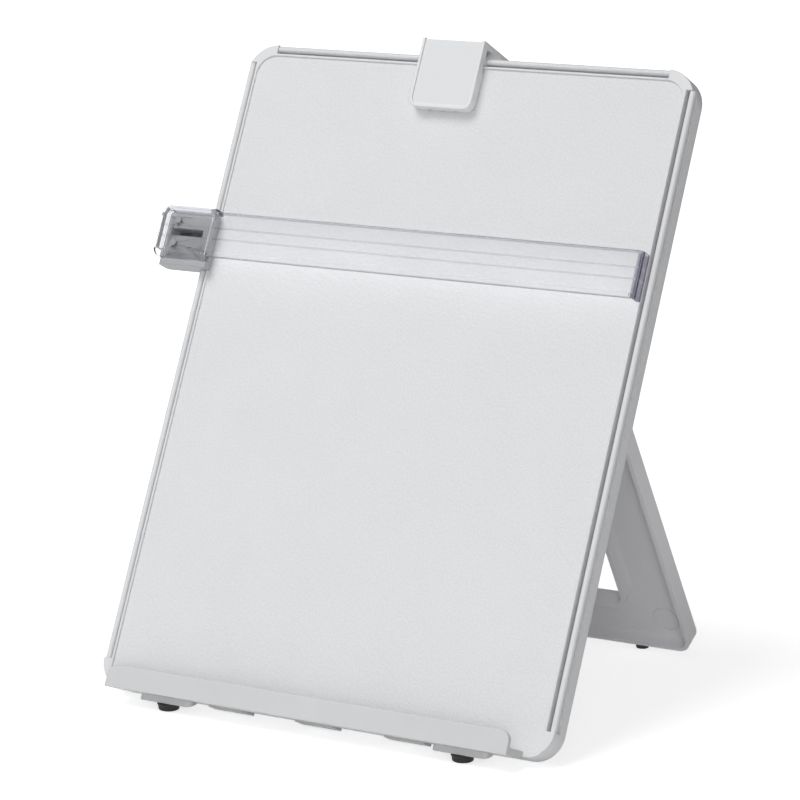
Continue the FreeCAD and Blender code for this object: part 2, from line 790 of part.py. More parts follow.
def easel_leg():
    """Shallow tray open to the front, with a walled window and knuckles for the hinge pins."""
    body = new_body("easel_leg")
    low = -size("leg_length")
    top = stop_line(HALF_LEG) + OVERRUN
    tray = new_sketch(body, "XZ_Plane", HALF_LEG)
    outline(tray, [(-leg_half_width(low), low, size("leg_corner_radius")),
                   (leg_half_width(low), low, size("leg_corner_radius")),
                   (leg_half_width(top), top), (-leg_half_width(top), top)])
    feature(body, "Pad", tray, size("leg_depth"), reverse=True)
    hollow = new_sketch(body, "XZ_Plane", HALF_LEG)
    inner_low, wall = low + size("leg_wall"), size("leg_wall")
    inner_radius = size("leg_corner_radius") - wall
    inner_top = top + OVERRUN
    outline(hollow, [(-leg_half_width(inner_low, wall), inner_low, inner_radius),
                     (leg_half_width(inner_low, wall), inner_low, inner_radius),
                     (leg_half_width(inner_top, wall), inner_top),
                     (-leg_half_width(inner_top, wall), inner_top)])
    window_outline(hollow, size("window_wall"))
    feature(body, "Pocket", hollow, size("leg_depth") - size("leg_plate"))
    window = new_sketch(body, "XZ_Plane", HALF_LEG)
    window_outline(window, NOTHING)
    feature(body, "Pocket", window, size("leg_depth") + OVERRUN)
    marks = new_sketch(body, "XZ_Plane", -PLATE_FRONT)
    for way in (-1, 1):
        across = way * (size("leg_half_width_low") - size("mark_inset"))
        circle(marks, across, low + size("mark_height"), size("mark_radius"))
        circle(marks, across, low + size("mark_height"), size("mark_radius") - size("mark_line"))
    feature(body, "Pocket", marks, size("mark_depth"))
    leg_knuckles(body)
    leg_top(body)
    place_on_leg(body)
    return body


def knuckle_starts():
    """Where the knuckles on each side of a lug begin, from the middle outwards."""
    lug_side = size("lug_width") / 2 + size("hinge_side_gap")
    return (size("lug_place") - lug_side - size("knuckle_length"), size("lug_place") + lug_side)


def leg_knuckles(body):
    made = []
    for start in knuckle_starts():
        eye = new_sketch(body, "YZ_Plane", start)
        circle(eye, NOTHING, NOTHING, size("hinge_eye_radius"))
        made.append(feature(body, "Pad", eye, size("knuckle_length")))
    notch = new_sketch(body, "XZ_Plane", -PLATE_FRONT + OVERRUN)
    lug_side = size("lug_width") / 2 + size("hinge_side_gap")
    box_outline(notch, size("lug_place") - lug_side, -size("hinge_eye_radius") - OVERRUN,
                size("lug_place") + lug_side, stop_line(HALF_LEG) + 2 * OVERRUN)
    made.append(feature(body, "Pocket", notch, size("leg_plate") + 2 * OVERRUN))
    last = knuckle_starts()[1] + size("knuckle_length")
    hole = new_sketch(body, "YZ_Plane", last)
    circle(hole, NOTHING, NOTHING, size("hinge_pin_radius"))
    made.append(feature(body, "Pocket", hole,
                        last - knuckle_starts()[0] + OVERRUN))
    mirrored(body, made)


def leg_top(body):
    """Trim the top so that it meets the board's back when open and clears it when folding."""
    front_low_share, front_high_share, rise_share = 0.22, 0.44, 0.9
    eye = size("hinge_eye_radius")
    shoulder = eye * front_low_share
    trim = new_sketch(body, "YZ_Plane")
    outline(trim, [(-HALF_LEG - OVERRUN, -shoulder), (-HALF_LEG, -shoulder),
                   (-eye * front_high_share, eye * rise_share),
                   (shoulder, stop_line(shoulder)),
                   (HALF_LEG, stop_line(HALF_LEG)),
                   (HALF_LEG + OVERRUN, stop_line(HALF_LEG)),
                   (HALF_LEG + OVERRUN, stop_line(HALF_LEG) + 2 * OVERRUN),
                   (-HALF_LEG - OVERRUN, stop_line(HALF_LEG) + 2 * OVERRUN)])
    feature(body, "Pocket", trim, 2 * size("leg_half_width_low"), both_ways=True)


def leg_pin(label, way):
    """Plain steel hinge pin through one lug and its two knuckles."""
    start, last = knuckle_starts()
    length = last + size("knuckle_length") - start + size("pin_overhang")
    first = start - size("pin_overhang") if way > 0 else -last - size("knuckle_length")
    body = new_body(label)
    section = new_sketch(body, "YZ_Plane", first)
    circle(section, NOTHING, NOTHING, size("hinge_pin_radius"))
    feature(body, "Pad", section, length)
    place_on_leg(body)
    return body


# Clip on the top rail

CLIP_LEFT = size("clip_centre") - size("clip_width") / 2
CLIP_RIGHT = size("clip_centre") + size("clip_width") / 2
ARM_LOW = RAIL_TOP + size("clip_arm_rise")
ARM_TOP = RAIL_TOP + size("clip_arm_top")
CLIP_BACK_Y = -size("clip_paper_gap")


def ring_cuts(body, start, length, bore):
    """Bore for the rail and a mouth that clears the rail's web as the clip turns."""
    hole = new_sketch(body, "YZ_Plane", start + length)
    circle(hole, RAIL_Y, RAIL_TOP, bore)
    feature(body, "Pocket", hole, length)


def clip_lever():
    """Front plate with a raised border, arm over the top edge, and knuckles on the rail."""
    body = new_body("clip_lever")
    width, low = size("clip_width"), RAIL_TOP - size("clip_drop")
    plate = new_sketch(body, "XZ_Plane", size("clip_front"))
    outline(plate, [(CLIP_LEFT, low, size("clip_corner_radius")),
                    (CLIP_RIGHT, low, size("clip_corner_radius")),
                    (CLIP_RIGHT, ARM_TOP), (CLIP_LEFT, ARM_TOP)])
    feature(body, "Pad", plate, size("clip_front") + CLIP_BACK_Y, reverse=True)
    hollow = new_sketch(body, "XZ_Plane", -CLIP_BACK_Y)
    flange = size("clip_flange")
    inner_radius = size("clip_corner_radius") - flange
    outline(hollow, [(CLIP_LEFT + flange, low + flange, inner_radius),
                     (CLIP_RIGHT - flange, low + flange, inner_radius),
                     (CLIP_RIGHT - flange, ARM_LOW), (CLIP_LEFT + flange, ARM_LOW)])
    feature(body, "Pocket", hollow, size("clip_front") + CLIP_BACK_Y - size("clip_skin"),
            reverse=True)
    relief = new_sketch(body, "YZ_Plane", size("clip_centre"))
    box_outline(relief, -size("clip_relief_depth"), RAIL_TOP - size("clip_relief_drop"),
                OVERRUN, ARM_LOW)
    feature(body, "Pocket", relief, width + OVERRUN, both_ways=True)
    arm = new_sketch(body, "YZ_Plane", size("clip_centre"))
    arm_end = size("clip_arm_reach")
    outline(arm, [(-size("clip_front"), ARM_LOW), (arm_end, ARM_LOW + size("clip_arm_lift")),
                  (arm_end, ARM_TOP), (-size("clip_front"), ARM_TOP)])
    feature(body, "Pad", arm, width, both_ways=True)
    clip_knuckles(body)
    border = new_sketch(body, "XZ_Plane", size("clip_front"))
    edge = size("clip_border")
    border_radius = size("clip_corner_radius") - edge
    outline(border, [(CLIP_LEFT + edge, low + edge, border_radius),
                     (CLIP_RIGHT - edge, low + edge, border_radius),
                     (CLIP_RIGHT - edge, ARM_TOP + OVERRUN), (CLIP_LEFT + edge, ARM_TOP + OVERRUN)])
    feature(body, "Pocket", border, size("clip_border_height"))
    top_recess = new_sketch(body, "XY_Plane", ARM_TOP)
    box_outline(top_recess, CLIP_LEFT + edge, -size("clip_front") - OVERRUN, CLIP_RIGHT - edge,
                arm_end + OVERRUN)
    feature(body, "Pocket", top_recess, size("clip_border_height"))
    teeth = new_sketch(body, "XZ_Plane", -CLIP_BACK_Y)
    step = size("clip_width") / 5
    for count in (-1, 0, 1):
        middle = size("clip_centre") + count * step
        box_outline(teeth, middle - size("clip_tooth_width") / 2, low - OVERRUN,
                    middle + size("clip_tooth_width") / 2, low + size("clip_tooth_height"))
    feature(body, "Pocket", teeth, size("clip_tooth_depth"), reverse=True)
    place_on_board(body)
    return body


def clip_knuckles(body):
    """A knuckle at each end of the clip, bridged to the front plate and open at the web."""
    length = size("clip_knuckle_length")
    for start in (CLIP_LEFT, CLIP_RIGHT - length):
        bridge = new_sketch(body, "YZ_Plane", start)
        box_outline(bridge, -size("clip_relief_depth") - size("joint_overlap"),
                    RAIL_TOP - size("clip_bridge"), RAIL_Y, RAIL_TOP + size("clip_bridge"))
        feature(body, "Pad", bridge, length)
        ring = new_sketch(body, "YZ_Plane", start)
        circle(ring, RAIL_Y, RAIL_TOP, size("clip_knuckle_radius"))
        feature(body, "Pad", ring, length)
        ring_cuts(body, start, length, size("rail_radius") + size("rail_running_gap"))
        mouth = new_sketch(body, "YZ_Plane", start + length)
        outline(mouth, [(RAIL_Y, RAIL_TOP),
                        (RAIL_Y + size("mouth_reach"), RAIL_TOP - size("mouth_low")),
                        (RAIL_Y + size("mouth_reach"), RAIL_TOP + size("mouth_high"))])
        feature(body, "Pocket", mouth, length)


CARRIAGE_LEFT = CLIP_LEFT + size("clip_knuckle_length") + size("part_gap")
CARRIAGE_LENGTH = (size("clip_width") - 2 * size("clip_knuckle_length") - 2 * size("part_gap"))
TONGUE_FRONT = size("board_depth") + size("part_gap")


def clip_carriage():
    """Sleeve on the top rail with a strap over the board's edge and a tongue behind it."""
    body = new_body("clip_carriage")
    strap_low = HEIGHT + size("part_gap")
    strap_top = strap_low + size("carriage_strap")
    tongue_back = TONGUE_FRONT + size("carriage_tongue")
    sleeve = new_sketch(body, "YZ_Plane", CARRIAGE_LEFT)
    circle(sleeve, RAIL_Y, RAIL_TOP, size("clip_knuckle_radius"))
    feature(body, "Pad", sleeve, CARRIAGE_LENGTH)
    strap = new_sketch(body, "YZ_Plane", CARRIAGE_LEFT)
    tongue_low = strap_low - size("carriage_tongue_drop")
    outline(strap, [(RAIL_Y, strap_low - size("rail_inset") / 2), (RAIL_Y, strap_top),
                    (tongue_back, strap_top), (tongue_back, tongue_low),
                    (TONGUE_FRONT, tongue_low), (TONGUE_FRONT, strap_low),
                    (size("channel_depth"), strap_low),
                    (size("channel_depth"), strap_low - size("rail_inset") / 2)])
    feature(body, "Pad", strap, CARRIAGE_LENGTH)
    ring_cuts(body, CARRIAGE_LEFT, CARRIAGE_LENGTH, size("rail_radius") + size("rail_running_gap"))
    mouth = new_sketch(body, "YZ_Plane", CARRIAGE_LEFT + CARRIAGE_LENGTH)
    half_mouth = size("rail_web") / 2 + size("part_gap")
    box_outline(mouth, RAIL_Y, RAIL_TOP - half_mouth, RAIL_Y + size("mouth_reach"),
                RAIL_TOP + half_mouth)
    feature(body, "Pocket", mouth, CARRIAGE_LENGTH)
    place_on_board(body)
    return body


def clip_spring():
    """Bent leaf spring: its foot lies on the tongue and its free end lifts the clip's arm."""
    body = new_body("clip_spring")
    leaf = size("clip_spring_leaf")
    foot_y = TONGUE_FRONT + size("carriage_tongue")
    foot_low = HEIGHT + size("part_gap") - size("carriage_tongue_drop")
    bend = foot_low + size("clip_spring_foot")
    tip_y = foot_y + size("clip_spring_reach")
    arm_slope = size("clip_arm_lift") / (size("clip_arm_reach") + size("clip_front"))
    tip_z = ARM_LOW + arm_slope * (tip_y + size("clip_front")) - size("rail_running_gap")
    section = new_sketch(body, "YZ_Plane", size("clip_centre"))
    outline(section, [(foot_y, foot_low), (foot_y + leaf, foot_low),
                      (foot_y + leaf, bend, 2 * leaf), (tip_y, tip_z - leaf),
                      (tip_y, tip_z), (tip_y - leaf, tip_z),
                      (foot_y, bend, 3 * leaf)])
    feature(body, "Pad", section, size("clip_spring_width"), both_ways=True)
    place_on_board(body)
    return body


# Line guide on the left rail

GUIDE_LOW = size("guide_height") - size("guide_bar_height") / 2
GUIDE_HIGH = size("guide_height") + size("guide_bar_height") / 2
HEAD_LOW = size("guide_height") - size("head_height") / 2 - size("guide_line_width")
HEAD_HIGH = HEAD_LOW + size("head_height")
BAR_BACK = size("guide_front") - size("guide_plate")
SLIDER_FRONT = BAR_BACK
HEAD_REACH = HALF_WIDTH + size("head_overhang")
HEAD_END = HALF_WIDTH - size("head_overlap")
GUIDE_END = HALF_WIDTH - size("guide_end_inset")
SLIDER_LOW = HEAD_LOW - size("slider_drop")
SLIDER_OUTER = HEAD_REACH - size("head_skirt") - size("part_gap")
SLIDER_INNER = HEAD_END + size("slider_end_inset")
SLOT_OUTER = SLIDER_OUTER - size("slot_wall")
GUIDE_PIN_X = size("guide_pin_inset") - SLIDER_OUTER
SLIDER_SCREW_X = size("slider_screw_inset") - SLIDER_OUTER
SLIDER_HIGH = HEAD_HIGH - size("head_skirt") - size("part_gap")
GUIDE_PINS = (size("guide_height") - size("guide_pin_rise"),
              size("guide_height") + size("guide_pin_rise"))


def guide_bar():
    """Clear bar with ruled lines, an end wall over the right rim and a head over the slider."""
    body = new_body("guide_bar")
    strip = new_sketch(body, "XZ_Plane", size("guide_front"))
    box_outline(strip, -HEAD_END - size("joint_overlap"), GUIDE_LOW,
                GUIDE_END, GUIDE_HIGH)
    feature(body, "Pad", strip, size("guide_plate"), reverse=True)
    end_wall = new_sketch(body, "XZ_Plane", size("guide_front"))
    box_outline(end_wall, GUIDE_END - size("guide_end_wall"), GUIDE_LOW,
                GUIDE_END, GUIDE_HIGH)
    feature(body, "Pad", end_wall, size("guide_front") - size("rim_height") - size("part_gap"),
            reverse=True)
    blend(body, "Fillet", size("guide_end_radius"),
          lambda edge: straight(edge, 2) and near(edge.BoundBox.YMin, -size("guide_front"))
          and near(edge.BoundBox.XMax, GUIDE_END))
    guide_beads(body)
    guide_head(body)
    place_on_board(body)
    return body


def guide_beads(body):
    """Thick lower and upper edges, and two fine raised lines along the bar."""
    left = -HEAD_END
    right = GUIDE_END - size("guide_end_radius")
    proud = size("guide_front") + size("guide_bead_proud")
    low_bead = new_sketch(body, "XZ_Plane", proud)
    box_outline(low_bead, left, GUIDE_LOW, right, GUIDE_LOW + size("guide_bead_height"))
    feature(body, "Pad", low_bead,
            size("guide_plate") + size("guide_bead_proud") + size("guide_bead_back"), reverse=True)
    top_bead = new_sketch(body, "XZ_Plane", proud)
    box_outline(top_bead, left, GUIDE_HIGH - size("guide_top_bead"), right, GUIDE_HIGH)
    feature(body, "Pad", top_bead, size("guide_plate") + size("guide_bead_proud"), reverse=True)
    lines = new_sketch(body, "XZ_Plane", size("guide_front") + size("guide_line_height"))
    half_line = size("guide_line_width") / 2
    for rise in (size("guide_line_low"), size("guide_line_high")):
        middle = size("guide_height") + rise
        box_outline(lines, left, middle - half_line, right, middle + half_line)
    feature(body, "Pad", lines, size("guide_line_height") + size("guide_plate") / 2, reverse=True)


def guide_head(body):
    """Clear head with a sunk face, and a skirt round the slider's outer end and top."""
    front = size("guide_front") + size("head_front_extra")
    outer, inner = -HEAD_REACH, -HEAD_END
    radius = size("head_corner_radius")
    face = new_sketch(body, "XZ_Plane", front)
    outline(face, [(outer, HEAD_LOW, radius), (inner, HEAD_LOW), (inner, HEAD_HIGH),
                   (outer, HEAD_HIGH, radius)])
    feature(body, "Pad", face, size("guide_plate") + size("head_front_extra"), reverse=True)
    skirt = new_sketch(body, "XZ_Plane", BAR_BACK + size("joint_overlap"))
    thick = size("head_skirt")
    outline(skirt, [(outer, HEAD_LOW + radius), (outer + thick, HEAD_LOW + radius),
                    (outer + thick, HEAD_HIGH - thick, radius - thick),
                    (inner, HEAD_HIGH - thick), (inner, HEAD_HIGH),
                    (outer, HEAD_HIGH, radius)])
    feature(body, "Pad", skirt, BAR_BACK + size("joint_overlap") - size("head_skirt_back"),
            reverse=True)
    window = new_sketch(body, "XZ_Plane", front)
    outline(window, [(outer + size("head_border_side"), HEAD_LOW + size("head_border_height"),
                      radius / 2),
                     (inner - size("head_border_end"), HEAD_LOW + size("head_border_height")),
                     (inner - size("head_border_end"), HEAD_HIGH - size("head_border_height")),
                     (outer + size("head_border_side"), HEAD_HIGH - size("head_border_height"),
                      radius / 2)])
    feature(body, "Pocket", window, 2 * size("head_front_extra"))
    holes = new_sketch(body, "XZ_Plane", front + OVERRUN)
    for height in GUIDE_PINS:
        circle(holes, GUIDE_PIN_X, height, size("guide_pin_radius"))
    feature(body, "Pocket", holes, front + OVERRUN)


def slider_body():
    """Grey slider: a block beyond the board's edge with a bore round the rail and an inner hook."""
    body = new_body("slider_body")
    low, high = SLIDER_LOW, SLIDER_HIGH
    inner_side = HALF_WIDTH - size("channel_width") + size("rail_running_gap") * 2
    over_rim = -size("rim_height") - size("part_gap")
    section = new_sketch(body, "XY_Plane", low)
    corner = size("slider_corner_radius")
    outline(section, [(-SLIDER_OUTER, -SLIDER_FRONT, corner),
                      (-SLIDER_INNER, -SLIDER_FRONT),
                      (-SLIDER_INNER, over_rim),
                      (-inner_side, over_rim),
                      (-inner_side, size("slider_back")),
                      (-RAIL_X + size("part_gap"), size("slider_back")),
                      (-RAIL_X + size("part_gap"), size("slider_split")),
                      (-SLIDER_OUTER, size("slider_split"))])
    feature(body, "Pad", section, high - low)
    round_top_corner(body, high)
    cut_for_rail(body, low, high)
    slot = new_sketch(body, "XZ_Plane", SLIDER_FRONT)
    half_slot = size("slot_width") / 2
    box_outline(slot, -SLOT_OUTER, size("guide_height") - half_slot,
                -RAIL_X, size("guide_height") + half_slot)
    feature(body, "Pocket", slot, SLIDER_FRONT + size("slot_back"))
    pin_holes = new_sketch(body, "XZ_Plane", SLIDER_FRONT)
    screw_holes = new_sketch(body, "XZ_Plane", -size("slider_split"))
    for height in GUIDE_PINS:
        circle(pin_holes, GUIDE_PIN_X, height, size("guide_pin_radius"))
        circle(screw_holes, SLIDER_SCREW_X, height, size("screw_radius"))
    feature(body, "Pocket", pin_holes, size("guide_pin_depth"))
    feature(body, "Pocket", screw_holes, size("slider_screw_length") - size("slider_back")
            + size("slider_split"), reverse=True)
    place_on_board(body)
    return body


def round_top_corner(body, high):
    """Round the outer top corner to sit inside the clear head's skirt."""
    radius = size("head_corner_radius") - size("head_skirt") - size("part_gap")
    blend(body, "Fillet", radius,
          lambda edge: straight(edge, 1) and near(edge.BoundBox.ZMin, high)
          and near(edge.BoundBox.XMin, -SLIDER_OUTER))


def cut_for_rail(body, low, high):
    """Bore and web slot, with running clearance, through a piece that rides on the left rail."""
    bore = new_sketch(body, "XY_Plane", high + OVERRUN)
    circle(bore, -RAIL_X, RAIL_Y, size("rail_radius") + size("rail_running_gap"))
    feature(body, "Pocket", bore, high - low + 2 * OVERRUN)
    slot = new_sketch(body, "XY_Plane", high + OVERRUN)
    half_slot = size("rail_web") / 2 + size("rail_running_gap") * 2
    box_outline(slot, -RAIL_X - half_slot, RAIL_Y, -RAIL_X + half_slot,
                size("slider_back") + OVERRUN)
    feature(body, "Pocket", slot, high - low + 2 * OVERRUN)


def slider_keeper():
    """Plate behind the slider whose edge hooks behind the rail from outside."""
    body = new_body("slider_keeper")
    low, high = SLIDER_LOW, SLIDER_HIGH
    section = new_sketch(body, "XY_Plane", low)
    outline(section, [(-SLIDER_OUTER, size("slider_split")),
                      (-RAIL_X + size("part_gap") / 2, size("slider_split")),
                      (-RAIL_X + size("part_gap") / 2, size("slider_back")),
                      (-SLIDER_OUTER, size("slider_back"), size("slider_corner_radius"))])
    feature(body, "Pad", section, high - low)
    round_top_corner(body, high)
    cut_for_rail(body, low, high)
    slot = new_sketch(body, "XZ_Plane", -size("slider_split"))
    half_slot = size("slot_width") / 2
    box_outline(slot, -SLOT_OUTER, size("guide_height") - half_slot,
                -RAIL_X, size("guide_height") + half_slot)
    feature(body, "Pocket", slot, size("slot_back") - size("slider_split"))
    holes = new_sketch(body, "XZ_Plane", -size("slider_back"))
    heads = new_sketch(body, "XZ_Plane", -size("slider_back"))
    for height in GUIDE_PINS:
        circle(holes, SLIDER_SCREW_X, height, size("screw_radius"))
        circle(heads, SLIDER_SCREW_X, height,
               size("screw_head_radius") + size("screw_hole_gap"))
    feature(body, "Pocket", holes, size("slider_back"), reverse=True)
    feature(body, "Pocket", heads, size("screw_head_height"), reverse=True)
    place_on_board(body)
    return body


def slider_screws():
    turn = FreeCAD.Rotation(FreeCAD.Vector(1, 0, 0), 90)
    frames = [FreeCAD.Placement(
        FreeCAD.Vector(SLIDER_SCREW_X.value, size("slider_back").value, height.value),
        turn) for height in GUIDE_PINS]
    return screw_group("slider_screws", size("slider_screw_length"), frames)


def slider_spring():
    """Bowed leaf spring in the slot; its inner end presses on the rail and holds the guide."""
    body = new_body("slider_spring")
    leaf, bow = size("slider_spring_leaf"), size("slider_spring_bow")
    start_x = -SLOT_OUTER + size("rail_running_gap")
    end_x = -RAIL_X - size("rail_radius") - size("rail_running_gap")
    middle_x = (start_x + end_x) / 2
    seat = size("slot_back") - size("rail_running_gap")
    section = new_sketch(body, "XY_Plane", size("guide_height") - size("slider_spring_width") / 2)
    outline(section, [(start_x, seat - leaf), (middle_x, seat - leaf - bow, bow),
                      (end_x, seat - leaf - bow / 3), (end_x, seat - bow / 3),
                      (middle_x, seat - bow, bow), (start_x, seat)])
    feature(body, "Pad", section, size("slider_spring_width"))
    place_on_board(body)
    return body


def guide_pins():
    """Two small headed pins that hold the clear head on the slider."""
    group = doc.addObject("Part::Feature", "guide_pins")
    group.Label = "guide_pins"
    face = size("guide_front").value - size("head_front_extra").value
    shank_length = face - SLIDER_FRONT.value + size("guide_pin_depth").value
    back = FreeCAD.Vector(0, 1, 0)
    pins = []
    for height in GUIDE_PINS:
        foot = FreeCAD.Vector(GUIDE_PIN_X.value, -face, height.value)
        shank = Part.makeCylinder(size("guide_pin_radius").value, shank_length, foot, back)
        head = Part.makeCylinder(size("guide_pin_head_radius").value, size("guide_pin_head").value,
                                 foot - back * size("guide_pin_head").value, back)
        pins.append(shank.fuse(head).removeSplitter())
    group.Shape = Part.makeCompound(pins)
    place_on_board(group)
    return group


def build():
    """Make every piece, in the order in which the holder goes together."""
    return [
        back_board(),
        paper_ledge(),
        ledge_screws(),
        front_foot("front_foot_left", -1),
        front_foot("front_foot_right", 1),
        easel_leg(),
        leg_pin("leg_pin_left", -1),
        leg_pin("leg_pin_right", 1),
        rear_foot("rear_foot_left", -1),
        rear_foot("rear_foot_right", 1),
        clip_carriage(),
        clip_spring(),
        clip_lever(),
        guide_bar(),
        slider_body(),
        slider_keeper(),
        slider_screws(),
        slider_spring(),
        guide_pins(),
    ]


pieces = build()
doc.recompute()
for item in doc.Objects:
    if "Invalid" in item.State or "Error" in item.State:
        raise ValueError("%s failed: %s" % (item.Name, item.State))
for piece in pieces:
    if piece.Shape.isNull() or not piece.Shape.isValid() or not piece.Shape.Solids:
        raise ValueError("%s has no valid solid" % piece.Label)
os.makedirs("parts", exist_ok=True)
for piece in pieces:
    piece.Shape.exportStep("parts/%s.step" % piece.Label)
    box = piece.Shape.BoundBox
    print("%-18s %d solid(s) %9.1f mm3  X %7.1f %7.1f  Y %7.1f %7.1f  Z %6.1f %6.1f" % (
        piece.Label, len(piece.Shape.Solids), piece.Shape.Volume,
        box.XMin, box.XMax, box.YMin, box.YMax, box.ZMin, box.ZMax))
print("leg leans %.2f degrees and opens %.2f degrees" % (LEG_LEAN.value, OPENING.value))
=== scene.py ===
"""Copy holder with line guide, dressed for a still picture on a pale floor.

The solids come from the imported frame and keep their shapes. This file gives each of them a
procedural material, turns the front feet in finer detail than the solids have, and sets the
floor, the lights and the camera. All lengths are in metres.
"""

import math

import bpy
import numpy as np
from mathutils import Matrix, Vector


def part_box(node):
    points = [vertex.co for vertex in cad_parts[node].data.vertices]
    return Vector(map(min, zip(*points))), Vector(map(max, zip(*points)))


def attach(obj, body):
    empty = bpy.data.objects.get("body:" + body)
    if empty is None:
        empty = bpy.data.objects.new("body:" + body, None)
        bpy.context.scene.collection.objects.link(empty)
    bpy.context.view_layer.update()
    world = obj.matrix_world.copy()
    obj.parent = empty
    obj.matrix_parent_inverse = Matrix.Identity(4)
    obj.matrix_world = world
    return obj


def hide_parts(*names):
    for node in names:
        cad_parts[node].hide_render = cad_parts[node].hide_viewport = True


bl_info = {
    "name": "Copy Holder With Line Guide",
    "version": (1, 0, 0),
    "blender": (4, 5, 0),
    "location": "View3D > Sidebar > Copy Holder",
    "description": "Materials, front feet, floor, lights and camera for a copy holder",
    "category": "Object",
}

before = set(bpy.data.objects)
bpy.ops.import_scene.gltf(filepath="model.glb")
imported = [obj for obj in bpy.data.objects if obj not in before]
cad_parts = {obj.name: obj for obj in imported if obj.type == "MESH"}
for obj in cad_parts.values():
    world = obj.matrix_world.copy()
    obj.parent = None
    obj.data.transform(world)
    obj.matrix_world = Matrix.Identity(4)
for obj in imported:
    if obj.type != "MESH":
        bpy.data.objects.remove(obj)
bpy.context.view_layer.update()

# The board leans back by this angle about its lower front edge
LEAN = math.radians(26)
BOARD_LOW, BOARD_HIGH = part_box("back_board")
MIDDLE_X = (BOARD_LOW.x + BOARD_HIGH.x) / 2
BOARD_ORIGIN = Vector((MIDDLE_X, -0.0921087, 0.0051))


def settings():
    """The sizes and colours that a user sets in the sidebar."""
    return bpy.context.scene.copy_holder


# Node trees

class Tree:
    """Short calls for one node tree."""

    def __init__(self, tree):
        self.tree = tree
        self.tree.nodes.clear()

    def node(self, kind, inputs=None, **options):
        made = self.tree.nodes.new(kind)
        for name, value in options.items():
            setattr(made, name, value)
        for name, value in (inputs or {}).items():
            self.feed(made.inputs[name], value)
        return made

    def feed(self, socket, value):
        if isinstance(value, bpy.types.NodeSocket):
            self.tree.links.new(value, socket)
        else:
            socket.default_value = value

    def math(self, operation, first, second=0.0):
        made = self.tree.nodes.new("ShaderNodeMath")
        made.operation = operation
        for socket, value in zip(made.inputs, (first, second)):
            self.feed(socket, value)
        return made.outputs[0]

    def remap(self, value, low, high, to_low, to_high):
        made = self.node("ShaderNodeMapRange", {"Value": value, "From Min": low, "From Max": high,
                                                "To Min": to_low, "To Max": to_high})
        made.clamp = True
        return made.outputs["Result"]

    def ramp(self, value, stops):
        made = self.node("ShaderNodeValToRGB", {"Fac": value})
        elements = made.color_ramp.elements
        while len(elements) < len(stops):
            elements.new(0.5)
        for element, (place, colour) in zip(elements, stops):
            element.position = place
            element.color = colour
        return made.outputs["Color"]

    def mix(self, share, first, second):
        """One colour turned into another by a share."""
        made = self.node("ShaderNodeMix", {"Factor": share}, data_type="RGBA")
        self.feed(made.inputs[6], first)
        self.feed(made.inputs[7], second)
        return made.outputs[2]


def group(name, inputs, outputs):
    """A new shader node group with its sockets, and the call object for its tree."""
    tree = bpy.data.node_groups.new(name, "ShaderNodeTree")
    for socket_name, kind, default in inputs:
        socket = tree.interface.new_socket(socket_name, in_out="INPUT", socket_type=kind)
        if default is not None:
            socket.default_value = default
    for socket_name, kind in outputs:
        tree.interface.new_socket(socket_name, in_out="OUTPUT", socket_type=kind)
    calls = Tree(tree)
    return tree, calls, calls.node("NodeGroupInput"), calls.node("NodeGroupOutput")


FLOAT, COLOUR, VECTOR = "NodeSocketFloat", "NodeSocketColor", "NodeSocketVector"


# Size of the cloudy mottle, the part that pits have in the grain, the cosines between which a
# rounded edge shows, and the depth of the lines on drawn metal
CLOUD_SCALE = 38.0
PIT_SHARE = 0.45
EDGE_TURN = (0.985, 0.8)
METAL_LINE_DEPTH = 0.000006


def board_place_group():
    """Place of a point in the board's own frame: across, back from the field, and up the board."""
    tree, calls, _, out = group("board place", [], [("Place", VECTOR)])
    coordinates = calls.node("ShaderNodeTexCoord").outputs["Object"]
    moved = calls.node("ShaderNodeVectorMath", {0: coordinates, 1: BOARD_ORIGIN},
                       operation="SUBTRACT")
    turned = calls.node("ShaderNodeVectorRotate",
                        {"Vector": moved.outputs[0], "Angle": LEAN}, rotation_type="X_AXIS")
    calls.feed(out.inputs["Place"], turned.outputs[0])
    return tree


